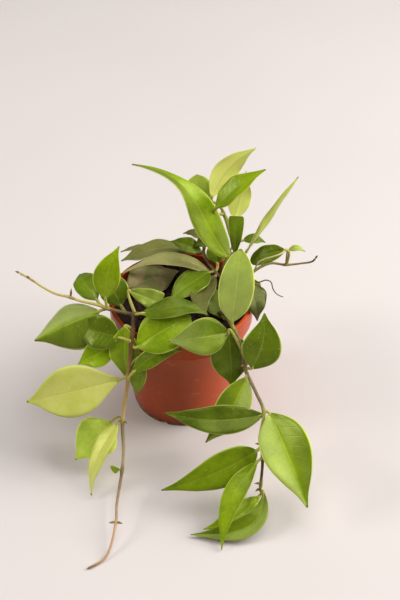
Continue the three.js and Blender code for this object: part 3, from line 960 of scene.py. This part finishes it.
def scatterCrumbs(name, draw, keepOut):
    count, sizes, squash, rough, tints = crumbSet[name]
    blank = makeCrumb(squash, rough)
    edge = insideAt(mixSet["top"]) - mixSet["crumbGap"]
    crumbs = []
    while len(crumbs) < count:
        turn = draw.uniform(0, 2 * math.pi)
        reach = edge * math.sqrt(draw.random())
        x, y = reach * math.cos(turn), reach * math.sin(turn)
        size = draw.uniform(*sizes)
        spin = Quaternion([draw.gauss(0, 1) for _ in range(4)]).normalized()
        nearStem = any(math.hypot(x - a, y - b) < mixSet["stemGap"] for a, b in keepOut)
        if nearStem or math.hypot(x, y) + size / 2 > edge + 1:
            continue
        crumb = copyOf(blank)
        stretch = Matrix.Diagonal((size, size * draw.uniform(0.5, 1), size, 1))
        lift = Matrix.Translation((x, y, mixHeight(x, y) + size * 0.12))
        crumb.data.transform(Matrix.Scale(mm, 4) @ lift @ spin.to_matrix().to_4x4() @ stretch)
        crumbs.append(crumb)
    dropPiece(blank)
    piece = joinAll(crumbs, name)
    smooth(piece, mixSet["crumbAngle"])
    paint(piece, mixFinish(name, *tints))
    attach(piece, "root")


def makeMix():
    makeMixBed()
    draw = random.Random(mixSet["seed"])
    feet = [vine["stems"][0]["route"][0][:2] for vine in vines]
    for name in crumbSet:
        scatterCrumbs(name, draw, feet)
    print("mix bedded in")


# where everything grows, seen from the front: x to the right, y away, z up;
# a vine's first stem is rooted; a bract is its joint, its direction and its length
front = (0, -8, 6)  # the way most leaves face

vineFrontLeft = {
    # over the rim at the front left, with a whip out to the left
    "node": "vine_front_left", "slot": "foliage",
    "stems": [
        {"bark": "oldTrail", "radius": (2, 0.85), "route": [(-14, -24, 104), (-20, -29, 113),
            (-29, -33, 118), (-36, -35, 120), (-38, -50, 113), (-40, -60, 98), (-42, -66, 78),
            (-47, -82, 48), (-46, -100, 33), (-47, -112, 22), (-50, -142, 15), (-50, -158, 12),
            (-57, -183, 2), (-71, -194, 1.3)]},
        {"bark": "whip", "radius": (1.5, 0.8), "route": [(-36, -35, 120), (-47, -32, 120),
            (-58, -29, 121), (-66, -28, 124), (-81, -26, 127), (-89, -24, 129), (-100, -20, 129),
            (-110, -17, 133), (-121, -14, 140), (-130, -10, 143)]},
    ],
    "leaves": [
        leafAt((-58, -29, 121), (-60, -27, 131), (-48, -12, 171), 22, front, "bright", bend=-3,
            flecks=0.1),
        leafAt((-58, -29, 121), (-68, -20, 123), (-84, 12, 123), 20, (-2, -5, 9), "mid", shape="oval",
            tone=0.8),
        leafAt((-36, -35, 120), (-48, -24, 120), (-62, 2, 136), 24, (0, -7, 7), "deep", tone=0.85),
        leafAt((-58, -29, 121), (-66, -30, 119), (-117, -46, 102), 46, (0, -5, 8.5), "mid", arch=2,
            fold=-30, flecks=0.4, tone=1.05, split=0.38),
        leafAt((-40, -60, 114), (-49, -50, 109), (-80, -36, 108), 28, front, "mid", shape="oval",
            arch=1.5, flecks=0.35, tone=0.6),
        leafAt((-39, -55, 105), (-54, -46, 96), (-83, -51, 81), 22, (0, -7, 7), "fresh", flecks=0.4,
            tone=1.4),
        leafAt((-42, -65, 82), (-50, -64, 76), (-123, -78, 65), 42, front, "lime", belly=0.75,
            tone=0.88),
        leafAt((-42, -66, 78), (-37, -67, 88), (2, -63, 107), 15, (0, -9, 4), "mid", arch=0, bend=-5),
        leafAt((-47, -82, 48), (-58, -71, 34), (-86, -96, 17), 36, (-1, -8, 6), "light", tone=1.45),
        leafAt((-47, -82, 48), (-51, -85, 46), (-72, -123, 4), 18, (-6, -5, 5), "lime", bend=4,
            belly=1.2, tone=0.95),
        leafAt((-47, -112, 22), (-50, -112, 22), (-56, -113, 28), 5, front, "fresh", shape="oval",
            tone=0.7),
        leafAt((-37.6, -47, 114.4), (-44, -46, 117), (-44, -58, 72), 25, (-2, -8, 6), "fresh",
            belly=0.9, knee=0.3, tone=1.12),
        leafAt((-41, -63, 90), (-32, -61, 95), (-36, -63, 58), 13, front, "mid", belly=1.1),
        leafAt((-38, -50, 113), (-34, -58, 106), (8, -41, 123), 35, (0, -6, 8), "fresh", shape="oval",
            arch=6, fold=4, belly=0.9, flecks=0.6, tone=1.1),
        leafAt((-36, -35, 120), (-30, -43.5, 128.5), (22, -41.5, 124.5), 20, (0, -2, 9), "mid",
            arch=6, bend=-3, late=1.4, knee=0.2, tone=0.54),
        leafAt((-36, -35, 120), (-41, -22, 134), (-16, -24, 122), 18, (0, -6, 8), "light",
            shape="cut", arch=2, knee=0.2, tone=0.68),
    ],
    "bracts": [
        ((-50, -157, 12), (-8, -3, 2), 6), ((-50, -157, 12), (8, -3, 1), 6),
        ((-47, -82, 48), (-6, -5, 3), 5), ((-47, -82, 48), (7, -5, -2), 5),
        ((-88, -24, 129), (1, 1, 9), 9), ((-121, -14, 140), (-5, -1, 6), 4),
        ((-129, -10.5, 142.5), (-7, 1, 3), 4),
    ],
}

vineFrontRight = {
    # over the rim at the front right
    "node": "vine_front_right", "slot": "foliage",
    "stems": [
        {"bark": "rightTrail", "radius": (1.8, 1.1), "route": [(30, -16, 104), (33, -22, 111),
            (37, -34, 116), (43, -48, 114), (49, -59, 102), (51, -65, 90), (60, -78, 75),
            (66, -88, 64), (63, -103, 49), (65, -113, 37), (63, -131, 20)]},
    ],
    "leaves": [
        leafAt((33, -22, 111), (35, -22, 105), (25, 8, 114), 22, (0, 0, 9), "deep", arch=0,
            tone=0.65),
        leafAt((37, -34, 116), (37, -50, 114), (-9, -65, 118), 30, front, "mid", flecks=0.25,
            tone=0.84, ends=(-0.1, 0.3)),
        leafAt((43, -48, 114), (41, -45, 122), (47, -22, 176), 28, front, "fresh", shape="oval",
            flecks=0.1, tone=1.45, ends=(0.45, 0.3)),
        leafAt((51, -65, 90), (57, -66, 91), (66, -46, 131), 32, (1, -8, 6), "deep", bend=3, knee=0.3,
            flecks=0.7, tone=1.1),
        leafAt((49, -59, 102), (38, -51, 114), (41, -66, 71), 34, (2, -8, 5), "deep", arch=2,
            tone=0.85),
        leafAt((51, -65, 90), (52, -70, 84), (20, -95, 36), 27, front, "fresh", bend=-3, tone=1.08,
            split=-0.35),
        leafAt((66, -88, 64), (65, -89, 61), (-13, -88, 63), 24, (0, -5, 8), "deep", bend=-6,
            tone=0.75),
        leafAt((66, -88, 64), (71, -90, 63), (98, -156, 28), 42, front, "fresh", bend=-1.5, fold=22,
            tone=1.1, split=0.3),
        leafAt((63, -103, 49), (60, -110, 42), (-15, -135, 24), 28, front, "fresh", bend=-3,
            belly=1.2, tone=0.74),
        leafAt((65, -113, 37), (60, -117, 36), (32, -176, 2), 17, front, "fresh", bend=8, tone=0.86),
        leafAt((63, -131, 20), (65, -132, 19), (8, -162, 3), 18, (0, -4, 9), "fresh", arch=2,
            bend=-18, late=0.7, fold=20, tone=0.65, split=-0.15),
        leafAt((63, -131, 20), (62, -130, 10), (18, -160, 7), 18, (0, -7, 7), "bright", bend=-4),
    ],
    "bracts": [
        ((63.5, -127.5, 23.5), (-8, -3, 3), 6), ((63, -130, 21), (-7, -4, -3), 5),
        ((63.5, -106, 45.5), (-8, -2, 3), 5), ((51, -64, 92), (-6, -5, 2), 5),
    ],
}

shootTop = {
    # the upright shoot with the tallest leaves
    "node": "shoot_top", "slot": "foliage",
    "stems": [
        {"bark": "shoot", "radius": (2, 1.2), "route": [(44, 6, 104), (45, 12, 116), (46, 21, 133),
            (40, 33, 150), (35, 41, 164), (31, 43, 173)]},
    ],
    "leaves": [
        leafAt((46, 21, 133), (39, 20, 136), (-39, 42, 212), 27, (5, -6, 6), "fresh", shape="lance",
            arch=12, bend=11, late=1.5, belly=1.5, tipTurn=40, tone=1.25, split=0.22,
            ends=(0.1, -0.5)),
        leafAt((46, 21, 133), (54, 21, 141), (94, 36, 204), 11, (-7, -1, 5), "lime", shape="lance",
            arch=1),
        leafAt((46, 21, 133), (44, 19, 140), (45, 28, 171), 13, (0, -8, 5), "deep", shape="cut",
            tone=1.55),
        leafAt((35, 41, 164), (29, 33, 176), (68, 40, 208), 22, (-4, -3, 8), "bright", fold=16,
            tone=0.92),
        leafAt((31, 43, 173), (25, 43, 180), (60, 50, 222), 20, (-2, 8, -3), "lime", bend=4,
            tone=1.15),
        leafAt((35, 41, 164), (44, 46, 155), (53, 54, 197), 19, (2, 8, 3), "lime", tone=1.12),
    ],
}

vineBackRim = {
    # a short shoot whose olive leaves lie over the mix
    "node": "vine_back_rim", "slot": "foliage_olive",
    "stems": [
        {"bark": "rusty", "radius": (1.6, 1.2), "route": [(38, 14, 104), (34, 20, 110), (28, 27, 114),
            (19, 42, 120), (19, 52, 127)]},
    ],
    "leaves": [
        leafAt((28, 27, 114), (23, 24, 115.5), (-11, -10, 110), 24, (0, -2, 9), "mid", tone=0.72),
        leafAt((28, 27, 114), (23, 30, 113), (-52, 26, 112), 16, (0, -1, 9), "olive", arch=16,
            belly=1.25, tone=1.2),
        leafAt((28, 27, 114), (28, 22, 113), (21, -30, 114), 20, (0, -2, 9), "moss", arch=0, bend=8,
            tone=0.8),
        leafAt((19, 42, 120), (16, 49, 117), (-52, 47, 110), 24, (0, 0, 9), "moss", arch=9, belly=0.6,
            tone=1.25),
        leafAt((19, 52, 127), (16, 45, 122), (-10, 50, 129), 15, (0, -5, 9), "mid", tone=0.6),
        leafAt((19, 52, 127), (18, 60, 124), (1, 66, 125), 11, (0, 0, 9), "bronze"),
        leafAt((19, 52, 127), (18, 46, 149), (13, 60, 190), 24, (0, -8, 5), "light", shape="oval",
            belly=0.5, tone=1.05, stalk="#c6c065"),
        leafAt((19, 52, 127), (23, 51, 130), (11, 44, 128), 11, (0, -4, 8), "deep", arch=1, tone=0.6),
        leafAt((28, 27, 114), (30, 34, 118), (26, 50, 127), 16, (0, -4, 8), "deep"),
    ],
}

shootRight = {
    # a nearly bare shoot out to the right, with a tendril and an air root
    "node": "shoot_right", "slot": "foliage",
    "stems": [
        {"bark": "rightShoot", "radius": (1.6, 0.7), "route": [(50, 8, 104), (53, 12, 114),
            (58, 16, 121), (73, 22, 127), (87, 24, 124), (100, 26, 124), (109, 26, 126),
            (112, 26, 130)]},
        {"bark": "root", "radius": (0.6, 0.4), "route": [(58, 16, 121), (61, 14, 115), (64, 12, 115),
            (70, 10, 119), (74, 9, 118), (76, 8, 111), (80, 8, 105), (86, 8, 102)]},
        {"bark": "tendril", "radius": (0.75, 0.6), "route": [(86, 19, 143), (80, 11, 145),
            (74, 9, 144), (67, 8, 142), (63, 7, 140), (61, 7, 135), (59, 9, 128)]},
    ],
    "leaves": [
        leafAt((87, 24, 124), (85, 18, 144), (57, 24, 127), 16, (0, -5, 8), "deep", shape="oval",
            knee=0.3, stalk="#c9c46a"),
        leafAt((87, 24, 124), (88, 24, 139), (102, 24, 138), 6, (0, -2, 8), "light", knee=0.1,
            stalk="#c0b860"),
        leafAt((53, 12, 114), (54, 0, 126), (62, -24, 104), 24, (5, -7, 4), "moss", tone=0.3),
    ],
    "bracts": [
        ((111.5, 26, 129), (3, 0, 6), 4),
    ],
}

leafOnSoil = {
    # one tan leaf lying on the mix
    "node": "leaf_on_soil", "slot": "foliage_olive",
    "stems": [
        {"bark": "rusty", "radius": (1.8, 1.5), "route": [(-38, 4, 104), (-41, 8, 109),
            (-44, 12, 111)]},
    ],
    "leaves": [
        leafAt((-44, 12, 111), (-45, 13, 107), (-3, 38, 106), 35, (0, -3, 9), "tan", arch=3,
            tone=0.8),
    ],
}

vineBackLeft = {
    # down the back, on the left
    "node": "vine_back_left", "slot": "foliage",
    "stems": [
        {"bark": "young", "radius": (2, 1.2), "route": [(-18, 34, 104), (-18, 44, 110.5),
            (-19, 56, 113.5), (-20, 66, 109), (-22, 76, 92), (-22, 81, 68), (-20, 85, 46)]},
    ],
    "leaves": [
        leafAt((-20, 66, 109), (-28, 69, 108), (-54, 70, 102), 8, (0, 1, 9), "moss", arch=2),
        leafAt((-20, 66, 109), (-12, 70, 103), (14, 84, 76), 28, (2, 8, 6), "fresh"),
        leafAt((-22, 81, 68), (-30, 83, 64), (-60, 92, 30), 32, (-2, 8, 6), "mid"),
        leafAt((-22, 81, 68), (-14, 84, 64), (12, 94, 34), 28, (2, 8, 6), "fresh"),
        leafAt((-20, 85, 46), (-20, 89, 39), (-26, 104, 4), 24, (0, 8, 6), "light"),
    ],
}

vineBackRight = {
    # down the back, on the right
    "node": "vine_back_right", "slot": "foliage",
    "stems": [
        {"bark": "young", "radius": (1.9, 1.2), "route": [(33, 34, 104), (36, 39, 112), (41, 48, 116),
            (46, 58, 108), (47, 66, 88), (46, 70, 72)]},
    ],
    "leaves": [
        leafAt((46, 58, 108), (40, 63, 102), (16, 84, 66), 28, (-1, 8, 6), "mid"),
        leafAt((47, 66, 88), (52, 66, 82), (62, 76, 42), 26, (5, 7, 5), "fresh"),
        leafAt((46, 70, 72), (43, 73, 66), (34, 90, 28), 30, (0, 8, 6), "mid"),
        leafAt((40, 46.5, 115.5), (52, 50, 130), (71, 52, 126), 10, (0, -3, 9), "deep"),
    ],
}

vines = [
    vineFrontLeft, vineFrontRight, shootTop, vineBackRim, shootRight, leafOnSoil, vineBackLeft,
    vineBackRight,
]


# the plant put together

bract = {"wide": 1.8, "footLong": 0.4, "arch": 0.5}


def makeBract(blank, spot, way, long, seed):
    spot, way = vec(spot), vec(way).normalized()
    root, tip = spot + way * bract["footLong"], spot + way * long
    face = (0, -0.4, 1) if abs(way.z) < 0.9 else (0, -1, 0)
    shape = {"arch": bract["arch"], "flecks": 0, "wave": 0}
    return makeBlade(blank, leafAt(spot, root, tip, bract["wide"], face, "husk", **shape), seed)


def makeVine(blank, vine, number, bark):
    node = vine["node"]
    blades, tubes = [], []
    bracts = vine.get("bracts", [])
    joints = [leaf["start"] for leaf in vine["leaves"]] + [vec(spot) for spot, _, _ in bracts]
    for index, line in enumerate(vine["stems"]):
        tubes.append(makeStem(line, index == 0, joints, number * 10 + index))
    for index, leaf in enumerate(vine["leaves"]):
        blades.append(makeBlade(blank, leaf, number * 100 + index))
        tubes.append(makeStalk(leaf))
    for index, (spot, way, long) in enumerate(bracts):
        blades.append(makeBract(blank, spot, way, long, number * 100 + 50 + index))
    leaves = joinAll(blades, node + "_leaves")
    stems = joinAll(tubes, node + "_stems")
    closeSeams(stems, stem["seam"])
    paint(stems, bark)
    for piece in (leaves, stems):
        smooth(piece)
        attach(piece, "root")
        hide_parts(node)
    print(node, len(leaves.data.polygons), "leaf faces,", len(stems.data.polygons), "stem faces")


def makePlant():
    blank = makeBladeBlank()
    bark = barkFinish()
    for number, vine in enumerate(vines, start=1):
        makeVine(blank, vine, number, bark)
    dropPiece(blank)


addCamera()
addStudio()
makePot()
makeMix()
makePlant()
